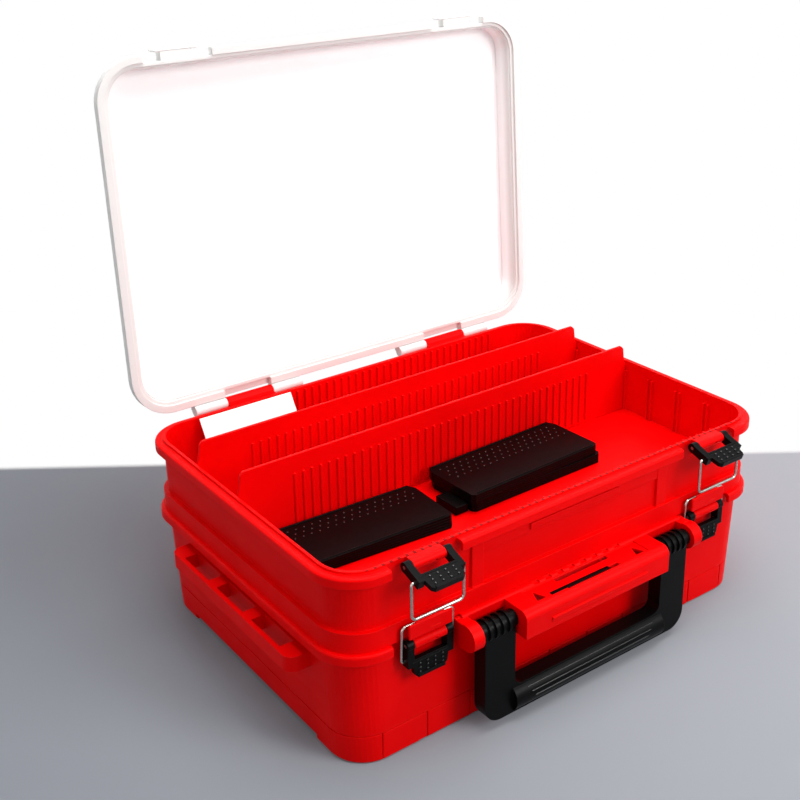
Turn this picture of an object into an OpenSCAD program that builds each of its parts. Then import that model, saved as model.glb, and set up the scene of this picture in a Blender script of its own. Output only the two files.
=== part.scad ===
// Two-tier tackle case: lower case, hinged tray on top of it, milky lid, wire-bail latches,
// folding carry handle and loose divider plates. Front faces -Y, the floor is z = 0, millimetres.

/* [Case] */
// Width over the rim flanges
rim_w = 456; // [400:1:520]
// Depth over the rim flanges
rim_d = 316; // [280:1:360]
// Corner radius of the rim flanges
rim_r = 38; // [24:1:60]
// How far a rim flange stands out from its wall
lip_over = 7; // [5:0.5:10]
// Height of a rim flange
lip_h = 8; // [6:0.5:12]
// Thickness of a rim flange
lip_t = 2.6; // [2:0.2:4]
// Radius of the flange's outer edge
lip_round = 2.2; // [1:0.1:2.5]
// Wall thickness of the lower case
case_t = 2.8; // [2:0.1:4]
// Floor thickness of the lower case
floor_t = 3; // [2:0.1:6]
// Height of the lower case to the top of its rim
lower_h = 103; // [80:1:140]
// How much the sides lean in towards the base
draft_x = 5; // [0:0.5:12]
// How much the front and back lean in towards the base
draft_y = 1.5; // [0:0.5:12]
// Height of the arch under each side
arch_h = 6; // [3:0.5:10]
// Length of the arch under each side
arch_l = 200; // [120:5:240]
// Height of the plinth line
plinth_h = 25; // [15:1:40]
// Depth of the plinth line and its grooves
plinth_cut = 0.9; // [0.5:0.1:1.2]
// Distance between the grooves below the plinth line
groove_pitch = 42; // [30:1:60]
// Width of a groove
groove_w = 1.4; // [0.8:0.1:2]
// Distance between the notches in the front rim
notch_pitch = 12.6; // [10:0.1:14]

/* [Tray] */
// Height of the tray above the lower rim
tray_h = 66; // [50:1:90]
// Height of the band round the tray's foot
band_h = 16.5; // [10:0.5:24]
// How far the band stands out from the tray wall
band_over = 3; // [1:0.5:5]
// Wall thickness of the tray
tray_t = 2.4; // [1.8:0.1:4]
// Height of the tray floor above the lower rim
tray_floor = 15; // [10:0.5:20]
// Thickness of the tray floor
tray_floor_t = 2.6; // [2:0.1:4]
// How far the locating skirt reaches into the lower case
skirt_h = 3; // [2:0.5:6]
// Height of the sealing crest above the flange
crest_h = 2; // [1:0.5:3]
// Number of divider guides on each side wall
guide_n = 7; // [3:2:9]
// Distance between divider guides
guide_pitch = 34.2; // [25:0.1:40]
// Depth of a divider guide
guide_d = 3; // [2:0.5:5]
// Number of small ribs for the cross dividers
rib_n = 40; // [10:1:44]
// Distance between small ribs
rib_pitch = 8.4; // [6:0.1:9]
// Width of a small rib
rib_w = 1.8; // [1:0.1:3]
// Depth of a small rib
rib_d = 1.4; // [0.8:0.1:2]
// Distance from the middle to each front pillar
pillar_x = 100; // [70:1:106]
// Width of a front pillar
pillar_w = 11; // [6:0.5:16]
// How far pillars and panel frame stand out
relief = 1.5; // [1:0.1:2]
// Half length of the raised bar under the tray rim
bar_half = 48; // [30:1:70]

/* [Lid] */
// Height of the lid above the tray rim
lid_h = 21; // [18:0.5:35]
// Wall thickness of the lid
lid_t = 2.4; // [1.8:0.1:4]
// Height of the lid's flange
lid_lip = 5.5; // [4:0.5:9]
// How much the lid's wall leans in
lid_draft = 4; // [1:0.5:10]
// How far the lid stands open in degrees
lid_open = 93.5; // [80:0.5:110]
// Gap between lid and tray rim when closed
seat_gap = 0.3; // [0.2:0.1:0.6]

/* [Hinges] */
// Distance from the middle to each hinge
hinge_x = 115; // [80:1:140]
// Half width of a hinge's middle lug
lug_half = 24; // [12:1:30]
// Width of each outer knuckle
knuckle_w = 32; // [16:1:36]
// Radius of the hinge knuckles
knuckle_r = 5; // [4:0.5:7]
// Radius of the hinge pins
hinge_pin_r = 1.8; // [1.2:0.1:2.4]
// Gap between hinge knuckles side by side
side_gap = 0.5; // [0.3:0.1:1]

/* [Latches] */
// Gap between a handle ear and the bail beside it
latch_gap = 1.6; // [1:0.1:6]
// Half width of the bay cut into the rims
bay_half = 32; // [26:1:34]
// Depth of the lever pivot below the rim
pivot_drop = 4.5; // [4:0.5:6]
// Distance of the lever pivot in front of the wall
pivot_out = 6; // [5.5:0.5:8]
// Length of a lever from its pivot
lever_l = 27.5; // [22:0.5:34]
// Outer half width of the lever's arms
arm_out = 21; // [18:0.5:22]
// Inner half width of the lever's arms
arm_in = 15.2; // [12:0.1:16]
// Half width of the lever plate at its end
lever_end = 15; // [11:0.5:17]
// Thickness of the lever plate
lever_t = 4; // [3:0.5:4.5]
// Radius of the lever's eye
eye_r = 4.2; // [3.5:0.1:4.6]
// Radius of a latch pin
latch_pin_r = 1.5; // [1:0.1:2]
// Distance from lever pivot to bail pivot
bail_down = 13.5; // [11:0.5:15]
// How far the bail pivot lies behind the lever pivot
bail_in = 1.5; // [1:0.1:2]
// Height of the bail from its pivot
bail_l = 30; // [26:0.1:34]
// Half width of the bail between wire centres
bail_half = 23.7; // [22.8:0.1:26]
// Radius of the bail wire
wire_r = 1.2; // [0.9:0.1:1.4]
// Bend radius of the bail wire
wire_bend = 4; // [3:0.5:6]
// Angle of an open lever from the closed one
lever_open = 70; // [50:1:90]
// Half width of a catch nose
nose_half = 15; // [10:0.5:19]
// Running clearance of pins and wires in their bores
fit = 0.05; // [0.02:0.01:0.1]

/* [Handle] */
// Half width over the handle's arms
handle_half = 110.5; // [95:0.5:112]
// Width of a handle arm
grip_arm_w = 30; // [20:0.5:34]
// Thickness of a handle arm
grip_arm_t = 13; // [9:0.5:14]
// Height of the handle axis
handle_z = 91; // [89:0.5:92]
// Distance of the handle axis in front of the wall
handle_out = 17; // [16.8:0.1:22]
// Length from the handle axis to the middle of the grip
handle_l = 70; // [60:1:74]
// Radius of the grip
grip_r = 12; // [9:0.5:13]
// Radius of a handle pin
handle_pin_r = 3; // [2:0.1:4]
// Core radius of a handle hub
hub_r = 7; // [5:0.5:8]
// Radius of the hub's fins
fin_r = 9; // [8:0.1:9.4]
// Thickness of a hub fin
fin_t = 2.2; // [1.5:0.1:3]
// Distance between hub fins
fin_pitch = 6.4; // [5:0.1:7]
// How far the bracket stands out from the wall
bracket_d = 33; // [30:0.5:38]
// Height of the bracket
bracket_h = 22.5; // [20:0.5:26]
// Wall thickness of the bracket
bracket_t = 3; // [2:0.1:4]
// Thickness of the bracket's ears and end walls
ear_t = 10; // [7:0.5:12]
// Gap between a handle arm and the ear beside it
ear_gap = 4; // [2:0.5:6]
// Radius of the bracket's ears
ear_r = 11; // [9:0.5:12]

/* [Side rails] */
// How far a side rail stands out from the wall
rail_out = 19; // [14:0.5:24]
// Length of a side rail
rail_l = 192; // [150:1:220]
// Middle of a side rail along the depth
rail_y = -8; // [-20:1:20]
// Height of a side rail's top
rail_z = 86; // [60:1:92]
// Thickness of a side rail
rail_h = 13; // [8:0.5:18]
// Slots in a side rail
slot_n = 3; // [1:1:4]
// Length of a rail slot
slot_l = 43; // [20:1:44]
// Width of a rail slot
slot_w = 12; // [8:0.5:16]
// Distance between rail slots
slot_pitch = 56; // [46:0.5:60]

/* [Dividers] */
// Thickness of a divider plate
div_t = 2.4; // [1.6:0.1:3]
// Height of a long divider
div_h = 68; // [50:0.5:68]
// Clearance of a divider in its guide
div_gap = 0.3; // [0.2:0.05:0.5]
// Length of a cross divider
cross_l = 150; // [100:1:150]
// Height of a cross divider
cross_w = 63; // [50:1:64]
// Thickness of a cross divider
cross_t = 2; // [1.4:0.1:2.4]
// Gap between stacked plates
stack_gap = 0.2; // [0.1:0.05:0.3]
// Plates in the left stack
stack_left = 5; // [1:1:6]
// Plates in the right stack
stack_right = 8; // [2:2:8]
// Width of the blank card
card_w = 95; // [60:1:100]
// Length of the blank card
card_l = 60; // [40:1:62]
// Thickness of the blank card
card_t = 0.8; // [0.5:0.1:1.5]
// Lean of the blank card in degrees
card_lean = 58; // [50:1:70]

/* [Hidden] */
$fn = 64;
e = 0.01;
wall_w = rim_w - 2*lip_over;
wall_d = rim_d - 2*lip_over;
wall_r = rim_r - lip_over;
wall_y = wall_d/2;
wall_x = wall_w/2;
base_w = wall_w - 2*draft_x;
base_d = wall_d - 2*draft_y;
tray_z = lower_h;                      // parting line
top_z = lower_h + tray_h;              // tray rim, at the crest
ledge_z = tray_z + band_h;
floor_z = tray_z + tray_floor;         // top of the tray floor
inner_w = wall_w - 2*tray_t;
inner_d = wall_d - 2*tray_t;
inner_r = wall_r - tray_t;
hinge_y = rim_d/2 + knuckle_r + 0.5;
tray_axis_z = lower_h;
lid_axis_z = top_z - crest_h + 1;
pivot_y = -(wall_y + pivot_out);
low_pivot_z = lower_h - pivot_drop;
up_pivot_z = top_z - pivot_drop;
bail_tilt = asin(1/bail_l);            // the closed bail leans over its dead centre
bar_z = -bail_down + bail_l*cos(bail_tilt);   // above the lever pivot
bar_y = bail_in - bail_l*sin(bail_tilt);
handle_y = -(wall_y + handle_out);
block_half = handle_half - grip_arm_w - 2.5;
ear_x = handle_half + ear_gap;
latch_x = ear_x + ear_t + latch_gap + wire_r + bail_half;
shelf_z = lower_h - 1.5;
inner_base_y = inner_d/2 - 1;
div_half = inner_w/2 - 1.6;
div_front_y = 4.5;
div_rear_y = div_front_y + 2*guide_pitch;

// ---- shared forms ----

// rounded rectangle, centred
module rr(w, d, r) {
  square([w - 2*r, d], center = true);
  square([w, d - 2*r], center = true);
  for (sx = [-1, 1], sy = [-1, 1]) translate([sx*(w/2 - r), sy*(d/2 - r)]) circle(r);
}
module slab(w, d, r, h) linear_extrude(h) rr(w, d, r);
// block that tapers from one rounded rectangle to another
module taper(w0, d0, r0, z0, w1, d1, r1, z1) {
  hull() {
    translate([0, 0, z0]) slab(w0, d0, r0, e, $fn = 48);
    translate([0, 0, z1 - e]) slab(w1, d1, r1, e, $fn = 48);
  }
}
// carries a profile (x outwards from the outline, y up) round a rounded rectangle
module round_rect_sweep(w, d, r) {
  for (s = [0, 180]) rotate(s) {
    translate([w/2, d/2 - r, 0]) rotate([90, 0, 0]) linear_extrude(d - 2*r) children();
    translate([w/2 - r, d/2, 0]) rotate([90, 0, -90]) mirror([1, 0, 0]) linear_extrude(w - 2*r) mirror([0, 0, 0]) children();
  }
  for (i = [0:3]) {
    sx = (i == 0 || i == 3) ? 1 : -1;
    sy = (i < 2) ? 1 : -1;
    translate([sx*(w/2 - r), sy*(d/2 - r), 0]) rotate(90*i)
      rotate_extrude(angle = 90) translate([r, 0]) children();
  }
}
// hooked rim flange, its top at y = 0
module lip_profile(t_in) {
  difference() {
    union() {
      translate([-t_in, -lip_t]) square([t_in + lip_over - lip_round, lip_t]);
      translate([lip_over - lip_t, -lip_h]) square([lip_t, lip_h - lip_round]);
      translate([lip_over - lip_round, -lip_round]) circle(lip_round);
    }
    translate([-t_in - 1, -lip_h - 1]) square([t_in + 1 - e, lip_h + 1 - lip_t]);
  }
}
module rod_x(x0, x1, r) translate([x0, 0, 0]) rotate([0, 90, 0]) cylinder(r = r, h = x1 - x0);
// profile in the y-z plane drawn from x0 to x1
module yz_extrude(x0, x1) translate([x0, 0, 0]) rotate([90, 0, 90]) linear_extrude(x1 - x0) children();
module at_latches() for (s = [-1, 1]) translate([s*latch_x, 0, 0]) children();
module at_hinges() for (s = [-1, 1]) translate([s*hinge_x, 0, 0]) children();

// the bay that a latch needs in a rim flange
module latch_bay(z0, z1, keep) translate([-bay_half, -rim_d/2 - 1, z0])
  cube([2*bay_half, rim_d/2 + 1 - keep, z1 - z0]);
// the lug a lever turns on, in front of the wall, at the pivot
module lever_lug(fn_t) {
  difference() {
    union() {
      rod_x(-arm_in + 0.4, arm_in - 0.4, eye_r);
      translate([-arm_in + 0.4, 0, -eye_r]) cube([2*arm_in - 0.8, pivot_out + 1, 2*eye_r]);
      yz_extrude(-arm_in + 0.4, arm_in - 0.4)
        polygon([[pivot_out + 1, -eye_r - 7], [pivot_out + 1, 0], [1.5, -eye_r + 0.5]]);
    }
    rod_x(-bail_half, bail_half, latch_pin_r + fit);
    translate([-6, -eye_r - 1, -1.6]) cube([12, 2.4, 1.4]);
  }
}
// the nose the bail's bar drops behind, drawn from the lever pivot below it
module catch_nose(back) {
  nose_z = bar_z - wire_r - 0.1;
  lip_y = bar_y - wire_r - 0.4;
  difference() {
    yz_extrude(-nose_half, nose_half) polygon([[back, pivot_drop + 1.6], [lip_y - 2, pivot_drop + 2.6],
      [lip_y - 2.8, pivot_drop + 4], [lip_y - 2.8, nose_z + 3], [lip_y - 2, nose_z + 4],
      [lip_y - 0.6, nose_z + 4], [lip_y, nose_z + 3], [lip_y, nose_z], [back, nose_z]]);
    for (s = [-1, 1]) translate([s*nose_half - 2, lip_y - 4, nose_z + 1.8]) cube([4, 4.5, 4]);
  }
}
module hinge_lug(z_low, z_high, axis_z, y_in) difference() {
  union() {
    translate([0, hinge_y, axis_z]) rod_x(-lug_half, lug_half, knuckle_r);
    translate([-lug_half, y_in, z_low]) cube([2*lug_half, hinge_y - y_in, z_high - z_low]);
  }
  translate([0, hinge_y, axis_z]) rod_x(-lug_half - 1, lug_half + 1, hinge_pin_r + fit);
}
module hinge_knuckles(z_low, z_high, axis_z, y_in) for (s = [0, 1]) mirror([s, 0, 0]) difference() {
  union() {
    translate([0, hinge_y, axis_z]) rod_x(lug_half + side_gap, lug_half + side_gap + knuckle_w, knuckle_r);
    translate([lug_half + side_gap, y_in, z_low]) cube([knuckle_w, hinge_y - y_in, z_high - z_low]);
  }
  translate([0, hinge_y, axis_z]) rod_x(lug_half, lug_half + knuckle_w - 3, hinge_pin_r + fit);
}
module hinge_pin(s, axis_z) translate([s*hinge_x, hinge_y, axis_z])
  rod_x(-lug_half - knuckle_w + 3.6, lug_half + knuckle_w - 3.6, hinge_pin_r);

// ---- lower case ----

module side_rail() {
  x0 = wall_x - draft_x*(1 - rail_z/lower_h) - 2;
  translate([0, rail_y, rail_z - rail_h]) linear_extrude(rail_h) difference() {
    union() {
      translate([x0, -rail_l/2]) square([wall_x + rail_out - x0 - 9, rail_l]);
      translate([x0, -rail_l/2 + 9]) square([wall_x + rail_out - x0, rail_l - 18]);
      for (s = [-1, 1]) translate([wall_x + rail_out - 9, s*(rail_l/2 - 9)]) circle(9);
    }
    for (i = [0:slot_n - 1])
      translate([wall_x + rail_out - 4 - slot_w, (i - (slot_n - 1)/2)*slot_pitch - slot_l/2]) square([slot_w, slot_l]);
  }
}
module bracket_outline() {
  y1 = -(wall_y + bracket_d);
  translate([y1 + 7, shelf_z - bracket_h]) square([bracket_d - 7 + 1.5, bracket_h]);
  translate([y1, shelf_z - bracket_h]) square([8, bracket_h - 7]);
  translate([y1 + 7, shelf_z - 7]) circle(7);
}
module handle_bracket() {
  y1 = -(wall_y + bracket_d);
  difference() {
    union() {
      yz_extrude(-block_half, block_half) difference() {
        bracket_outline();
        translate([y1 + bracket_t, shelf_z - bracket_h - 1]) square([bracket_d, bracket_h + 1 - bracket_t - 4]);
        translate([y1 + 7, shelf_z - bracket_h - 1]) square([bracket_d, bracket_h + 1 - bracket_t]);
      }
      for (s = [-1, 1]) yz_extrude(s > 0 ? block_half - ear_t : -block_half, s > 0 ? block_half : -block_half + ear_t)
        bracket_outline();
      for (s = [-1, 1]) yz_extrude(s*24 - 1.2, s*24 + 1.2) bracket_outline();
      translate([-ear_x - ear_t, -(wall_y + 5), shelf_z - 9.5]) cube([2*(ear_x + ear_t), 6.5, 9.5]);
      for (s = [-1, 1]) yz_extrude(s > 0 ? ear_x : -ear_x - ear_t, s > 0 ? ear_x + ear_t : -ear_x) {
        translate([handle_y, handle_z]) circle(ear_r);
        translate([handle_y, handle_z - ear_r]) square([handle_out + 1.5, 2*ear_r - 1]);
      }
      translate([-block_half + 26, y1 - 1.3, handle_z - 5.5]) cube([2*(block_half - 26), 3, 3]);
    }
    translate([0, handle_y, handle_z]) for (s = [0, 1]) mirror([s, 0, 0])
      rod_x(block_half - ear_t + 2, ear_x + ear_t - 2, handle_pin_r + fit);
    translate([-block_half + 16, y1 + 8, shelf_z - 1.2]) cube([2*(block_half - 16), bracket_d - 15.5, 2]);
    translate([-29, y1 + 6.6, shelf_z - bracket_h - 1]) cube([58, 5.2, bracket_h + 2]);
    translate([-28.5, -(wall_y + 12.6), shelf_z - 8]) cube([57, 4.6, 9]);
    for (s = [-1, 1]) translate([s*54, 0, shelf_z - 8]) linear_extrude(9)
      polygon([[-4.5, y1 + 10], [4.5, y1 + 10], [0, y1 + 21]]);
  }
}
module lower_case() color([0.8, 0.02, 0.02]) difference() {
  union() {
    difference() {
      union() {
        hull() {
          slab(base_w - 4, base_d - 4, wall_r - 2, e, $fn = 48);
          translate([0, 0, 2.5]) slab(base_w, base_d, wall_r, e, $fn = 48);
          translate([0, 0, lower_h - lip_t]) slab(wall_w, wall_d, wall_r, e, $fn = 48);
        }
        translate([0, 0, lower_h]) round_rect_sweep(wall_w, wall_d, wall_r) lip_profile(case_t);
        translate([0, 0, lower_h - lip_t]) slab(wall_w, wall_d, wall_r, lip_t);
      }
      at_latches() latch_bay(lower_h - lip_h - 1, lower_h + 1, wall_y);
      for (i = [-4:3]) translate([i*notch_pitch + 3, -rim_d/2 - 1, lower_h - 1.6]) cube([notch_pitch/2, 4, 3]);
      // plinth line and grooves
      translate([0, 0, plinth_h]) difference() {
        slab(rim_w, rim_d, rim_r, 1.2);
        translate([0, 0, -1]) slab(wall_w - 2*draft_x*(1 - plinth_h/lower_h) - 2*plinth_cut,
          wall_d - 2*draft_y*(1 - plinth_h/lower_h) - 2*plinth_cut, wall_r - plinth_cut, 4);
      }
      for (i = [-4.5:4.5]) translate([i*groove_pitch - groove_w/2, -base_d/2 - 3, -1])
        cube([groove_w, 3 + plinth_cut, plinth_h + 1]);
      for (i = [-4.5:4.5]) translate([i*groove_pitch - groove_w/2, base_d/2 - plinth_cut, -1])
        cube([groove_w, 3, plinth_h + 1]);
      // arches under the sides
      for (s = [-1, 1]) translate([s*(base_w/2 + 1) - 9, -arch_l/2, -1]) cube([18, arch_l, arch_h + 1]);
      for (i = [-3:3]) translate([i*50 - 4, -base_d/2 - 1, -1]) cube([8, 7, 3.2]);
    }
    for (s = [0, 1]) mirror([s, 0, 0]) side_rail();
    handle_bracket();
    at_latches() translate([0, pivot_y, low_pivot_z]) lever_lug();
    at_hinges() hinge_lug(lower_h - knuckle_r, lower_h - side_gap, tray_axis_z, wall_y - 1);
  }
  // inside
  taper(base_w - 2*case_t, base_d - 2*case_t, wall_r - case_t, arch_h + floor_t,
    wall_w - 2*case_t, wall_d - 2*case_t, wall_r - case_t, lower_h + 1);
  translate([0, 0, floor_t]) slab(base_w - 40, base_d - 2*case_t - 10, wall_r - 8, arch_h + 1);
}

// ---- tray ----

module side_guides() for (s = [0, 1]) mirror([s, 0, 0]) for (i = [0:guide_n - 1])
  for (k = [-1, 1]) translate([inner_w/2 - guide_d, div_front_y + (i - (guide_n - 1)/2)*guide_pitch
    + k*(div_t/2 + div_gap) + (k < 0 ? -1.8 : 0), floor_z - 0.5]) cube([guide_d + 0.8, 1.8, tray_h - tray_floor - 9]);
module small_ribs(y0, z0, h, depth) for (i = [0:rib_n - 1])
  translate([(i - (rib_n - 1)/2)*rib_pitch - rib_w/2, y0, z0]) cube([rib_w, depth, h]);
module tray() color([0.82, 0.02, 0.02]) difference() {
  union() {
    difference() {
      union() {
        translate([0, 0, tray_z]) slab(wall_w + 2*band_over, wall_d + 2*band_over, wall_r + band_over, band_h);
        taper(wall_w - 2, wall_d - 2, wall_r - 1, ledge_z - 1, wall_w, wall_d, wall_r, top_z - crest_h);
        translate([0, 0, top_z - crest_h]) round_rect_sweep(wall_w, wall_d, wall_r) lip_profile(tray_t);
        translate([0, 0, top_z - crest_h - lip_t]) slab(wall_w, wall_d, wall_r, crest_h + lip_t);
        // pillars, panel frame and bar on the front
        for (s = [-1, 1]) translate([s*pillar_x - pillar_w/2, -wall_y - relief, ledge_z - 1])
          cube([pillar_w, 4, tray_h - band_h - crest_h]);
        translate([-pillar_x, -wall_y - relief + 0.3, top_z - 23]) cube([2*pillar_x, 4, 20]);
        translate([-bar_half, -wall_y - relief - 1.4, top_z - 19.5]) cube([2*bar_half, 4, 5]);
      }
      at_latches() latch_bay(top_z - crest_h - lip_h - 1, top_z + 1, wall_y);
      taper(inner_w - 2, inner_d - 2, inner_r - 1, floor_z, inner_w, inner_d, inner_r, top_z + 1);
      translate([0, 0, tray_z - 1]) slab(wall_w + 2*band_over - 2*tray_t, wall_d + 2*band_over - 2*tray_t,
        wall_r + band_over - tray_t, tray_floor - tray_floor_t + 1);
    }
    // locating skirt inside the lower rim
    translate([0, 0, tray_z - skirt_h]) difference() {
      slab(wall_w - 2*case_t - 1.2, wall_d - 2*case_t - 1.2, wall_r - case_t - 0.6, skirt_h + tray_floor - 1);
      translate([0, 0, -1]) slab(wall_w - 2*case_t - 5.2, wall_d - 2*case_t - 5.2, wall_r - case_t - 2.6,
        skirt_h + tray_floor - tray_floor_t + 1);
    }
    side_guides();
    small_ribs(-inner_base_y - 0.8, floor_z - 0.5, tray_h - tray_floor - 2, rib_d + 0.8);
    small_ribs(inner_base_y - rib_d, floor_z - 0.5, tray_h - tray_floor - 2, rib_d + 0.8);
    at_latches() translate([0, pivot_y, up_pivot_z]) lever_lug();
    at_latches() translate([0, pivot_y, low_pivot_z]) catch_nose(pivot_out - band_over + 1);
    at_hinges() hinge_knuckles(tray_z + side_gap, tray_z + knuckle_r, tray_axis_z, wall_y + band_over - 1);
    at_hinges() hinge_lug(lid_axis_z - knuckle_r, lid_axis_z, lid_axis_z, wall_y - 1);
  }
}

// ---- lid, drawn closed and turned open ----

module closed_lid() {
  z0 = top_z - crest_h + seat_gap;
  z1 = top_z + lid_lip;
  difference() {
    union() {
      translate([0, 0, z0]) slab(rim_w, rim_d, rim_r, z1 - z0);
      taper(wall_w + 2, wall_d + 2, wall_r + 1, z1 - 1, wall_w + 2 - 2*lid_draft, wall_d + 2 - 2*lid_draft,
        wall_r + 1 - lid_draft, top_z + lid_h - 2);
      taper(wall_w + 2 - 2*lid_draft, wall_d + 2 - 2*lid_draft, wall_r + 1 - lid_draft, top_z + lid_h - 2 - e,
        wall_w - 2 - 2*lid_draft, wall_d - 2 - 2*lid_draft, wall_r - 1 - lid_draft, top_z + lid_h);
    }
    translate([0, 0, z0 - 1]) slab(wall_w + 0.8, wall_d + 0.8, wall_r + 0.4, crest_h + 1);
    taper(wall_w - 2*lid_t, wall_d - 2*lid_t, wall_r - lid_t, top_z - 1,
      wall_w - 2*lid_draft - 2*lid_t, wall_d - 2*lid_draft - 2*lid_t, wall_r - lid_draft - lid_t, top_z + lid_h - lid_t);
    at_latches() latch_bay(z0 - 1, z1 + 1, wall_y + 0.4);
    at_hinges() translate([-lug_half - side_gap, wall_y + 0.4, z0 - 1])
      cube([2*(lug_half + side_gap), lip_over + 4, z1 - z0 - 1]);
  }
  at_latches() translate([0, pivot_y, up_pivot_z]) catch_nose(pivot_out + 1.2);
  at_hinges() hinge_knuckles(top_z + seat_gap + 0.3, z1, lid_axis_z, wall_y + 1);
}
module lid() color([0.93, 0.94, 0.94]) translate([0, hinge_y, lid_axis_z]) rotate([-lid_open, 0, 0])
  translate([0, -hinge_y, -lid_axis_z]) closed_lid();

// ---- latches ----

module lever() difference() {
  union() {
    for (s = [0, 1]) mirror([s, 0, 0]) {
      rod_x(arm_in, arm_out, eye_r);
      translate([arm_in, -lever_t + 0.5, -bail_down - 4.5]) cube([arm_out - arm_in, lever_t + 3.3, bail_down + 4.5]);
    }
    translate([0, 0.5, 0]) rotate([90, 0, 0]) linear_extrude(lever_t) polygon([
      [-arm_in - 1, -bail_down + 1.5], [arm_in + 1, -bail_down + 1.5], [arm_in + 1, -bail_down - 4],
      [lever_end, -lever_l + 2.5], [lever_end - 2.5, -lever_l], [-lever_end + 2.5, -lever_l],
      [-lever_end, -lever_l + 2.5], [-arm_in - 1, -bail_down - 4]]);
    translate([-lever_end + 2.5, -lever_t - 0.7, -lever_l]) cube([2*lever_end - 5, 2, 1.8]);
    for (i = [-1.5:1.5], k = [0:2]) translate([i*7, -lever_t + 0.6, -bail_down - 2.6 - k*3.6])
      rotate([90, 0, 0]) cylinder(r = 0.8, h = 0.7, $fn = 14);
  }
  rod_x(-arm_out - 1, arm_out + 1, latch_pin_r + fit);
  translate([0, bail_in, -bail_down]) rod_x(-arm_out - 1, arm_out + 1, wire_r + fit);
  translate([-arm_in - 1.5, -lever_t, -bail_down - 0.9]) cube([2*arm_in + 3, 1, 0.8]);
}
module bail_wire() for (s = [0, 1]) mirror([s, 0, 0]) {
  rod_x(arm_in + 0.5, bail_half - 2, wire_r);
  translate([bail_half - 2, 0, 2]) rotate([-90, 0, 0]) rotate_extrude(angle = 90) translate([2, 0]) circle(wire_r);
  translate([bail_half, 0, 2]) cylinder(r = wire_r, h = bail_l - 2 - wire_bend);
  translate([bail_half - wire_bend, 0, bail_l - wire_bend]) rotate([90, 0, 0])
    rotate_extrude(angle = 90) translate([wire_bend, 0]) circle(wire_r);
  translate([0, 0, bail_l]) rod_x(-e, bail_half - wire_bend, wire_r);
}
// open = 0 closed, 1 open
module placed_lever(s, z, open) translate([s*latch_x, pivot_y, z]) rotate([-open*lever_open, 0, 0]) lever();
module placed_bail(s, z, open) {
  a = -open*lever_open;
  translate([s*latch_x, pivot_y + bail_in*cos(a) + bail_down*sin(a), z + bail_in*sin(a) - bail_down*cos(a)])
    rotate([open ? 180 : bail_tilt, 0, 0]) bail_wire();
}
module latch_pin(s, z) translate([s*latch_x, pivot_y, z]) rod_x(-arm_out + 0.2, arm_out - 0.2, latch_pin_r);
module black() color([0.06, 0.06, 0.06]) children();
module steel() color([0.7, 0.7, 0.7]) children();
module lower_lever_left() black() placed_lever(-1, low_pivot_z, 0);
module lower_lever_right() black() placed_lever(1, low_pivot_z, 0);
module upper_lever_left() black() placed_lever(-1, up_pivot_z, 1);
module upper_lever_right() black() placed_lever(1, up_pivot_z, 1);
module lower_bail_left() steel() placed_bail(-1, low_pivot_z, 0);
module lower_bail_right() steel() placed_bail(1, low_pivot_z, 0);
module upper_bail_left() steel() placed_bail(-1, up_pivot_z, 1);
module upper_bail_right() steel() placed_bail(1, up_pivot_z, 1);
module lower_latch_pin_left() steel() latch_pin(-1, low_pivot_z);
module lower_latch_pin_right() steel() latch_pin(1, low_pivot_z);
module upper_latch_pin_left() steel() latch_pin(-1, up_pivot_z);
module upper_latch_pin_right() steel() latch_pin(1, up_pivot_z);
module tray_hinge_pin_left() steel() hinge_pin(-1, tray_axis_z);
module tray_hinge_pin_right() steel() hinge_pin(1, tray_axis_z);
module lid_hinge_pin_left() steel() hinge_pin(-1, lid_axis_z);
module lid_hinge_pin_right() steel() hinge_pin(1, lid_axis_z);

// ---- handle ----

module handle_outline() {
  z_low = -handle_l - grip_r;
  difference() {
    union() {
      translate([-handle_half, z_low + 16]) square([2*handle_half, -z_low - 16]);
      translate([-handle_half + 16, z_low]) square([2*handle_half - 32, 20]);
      for (s = [-1, 1]) translate([s*(handle_half - 16), z_low + 16]) circle(16);
    }
    translate([0, 20]) {
      square([2*(handle_half - grip_arm_w), 1], center = true);
      translate([-handle_half + grip_arm_w, -handle_l + grip_r + 8 - 20]) square([2*(handle_half - grip_arm_w), handle_l + 20]);
    }
    translate([-handle_half + grip_arm_w + 8, -handle_l + grip_r]) square([2*(handle_half - grip_arm_w - 8), 10]);
    for (s = [-1, 1]) translate([s*(handle_half - grip_arm_w - 8), -handle_l + grip_r + 8]) circle(8);
  }
}
module carry_handle() black() translate([0, handle_y, handle_z]) difference() {
  union() {
    intersection() {
      translate([0, grip_arm_t/2, 0]) rotate([90, 0, 0]) linear_extrude(grip_arm_t) handle_outline();
      translate([-handle_half, -20, -handle_l - grip_r - 1]) cube([2*handle_half, 40, handle_l + grip_r + 1]);
    }
    for (s = [0, 1]) mirror([s, 0, 0]) {
      rod_x(block_half + 0.6, ear_x - 0.6, hub_r);
      for (i = [0:3]) rod_x(handle_half - grip_arm_w + 5.5 + i*fin_pitch, handle_half - grip_arm_w + 5.5 + i*fin_pitch + fin_t, fin_r);
    }
    translate([0, 0, -handle_l]) rod_x(-handle_half + grip_arm_w - 2, handle_half - grip_arm_w + 2, grip_r);
  }
  for (s = [0, 1]) mirror([s, 0, 0]) rod_x(block_half - 1, ear_x + 1, handle_pin_r + fit);
}
module handle_pin(s) translate([0, handle_y, handle_z]) mirror([s < 0 ? 1 : 0, 0, 0])
  rod_x(block_half - ear_t + 2.5, ear_x + ear_t - 2.5, handle_pin_r);
module handle_pin_left() steel() handle_pin(-1);
module handle_pin_right() steel() handle_pin(1);

// ---- loose pieces in the tray ----

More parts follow.
